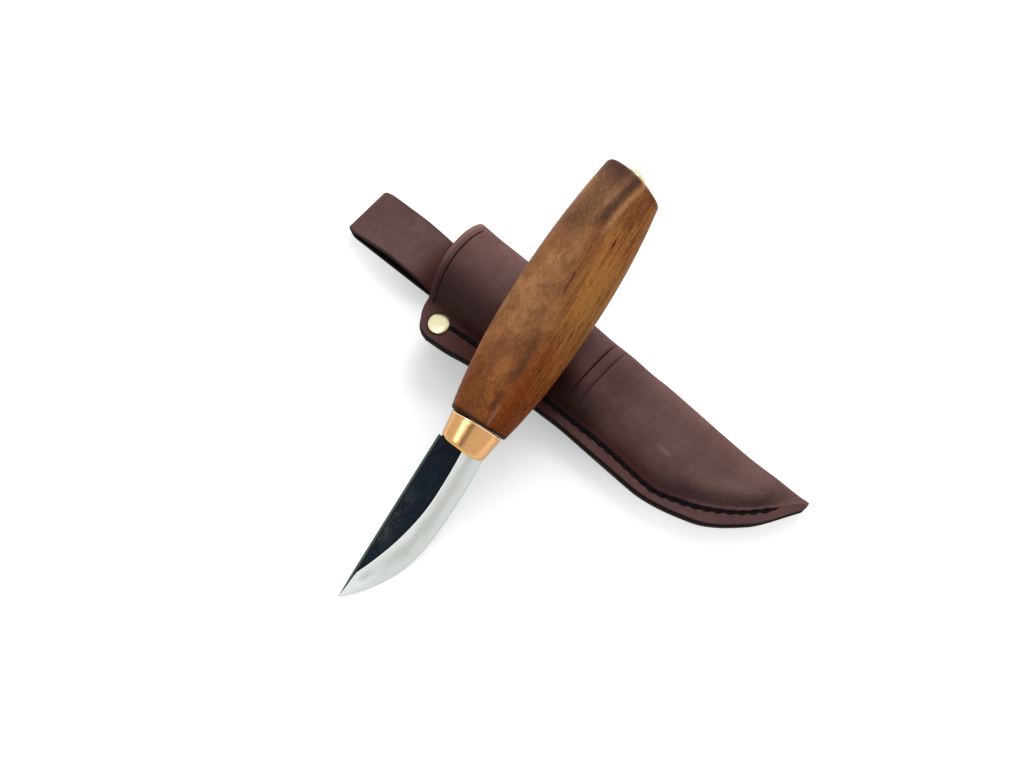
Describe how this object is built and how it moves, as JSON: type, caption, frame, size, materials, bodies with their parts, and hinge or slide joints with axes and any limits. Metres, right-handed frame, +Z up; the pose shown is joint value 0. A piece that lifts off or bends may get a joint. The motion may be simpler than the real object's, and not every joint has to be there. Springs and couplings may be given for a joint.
{
  "type": "sheath knife",
  "caption": "puukko sheath knife with oval figured-wood handle, brass ferrule and black forged blade, leaning across its dark brown sewn leather sheath with belt loop",
  "frame": {"origin": "on the flat strip of the sheath's back that rests on the table, 106 mm from the mouth towards the tip", "axes": "+X runs along the sheath from the mouth to the tip, +Y points to the sheath's fold and +Z up from the table"},
  "size_m": [0.221, 0.1821, 0.0676],
  "materials": {
    "forged_steel": "black forge scale on the flats, satin ground bevels",
    "brass": "polished, lightly scratched",
    "handle_wood": "figured, stained and oiled",
    "leather": "dark brown vegetable-tanned, matte grain, burnished edges",
    "liner_plastic": "moulded, matte",
    "thread": "waxed black thread"
  },
  "bodies": {
    "sheath": {"sheath_leather": "leather", "blade_liner": "liner_plastic", "rivet_cap": "brass", "rivet_post": "brass", "seam_thread_front": "thread", "seam_thread_back": "thread", "belt_loop": "leather", "loop_rivet_1": "brass", "loop_rivet_2": "brass"},
    "knife": {"handle": "handle_wood", "ferrule": "brass", "blade": "forged_steel", "tang_washer": "brass"}
  },
  "joints": [
    {"name": "knife_lift", "type": "slide", "parent": "sheath", "child": "knife", "axis": [0, 0, 1], "range_m": [0, 0.06]}
  ]
}
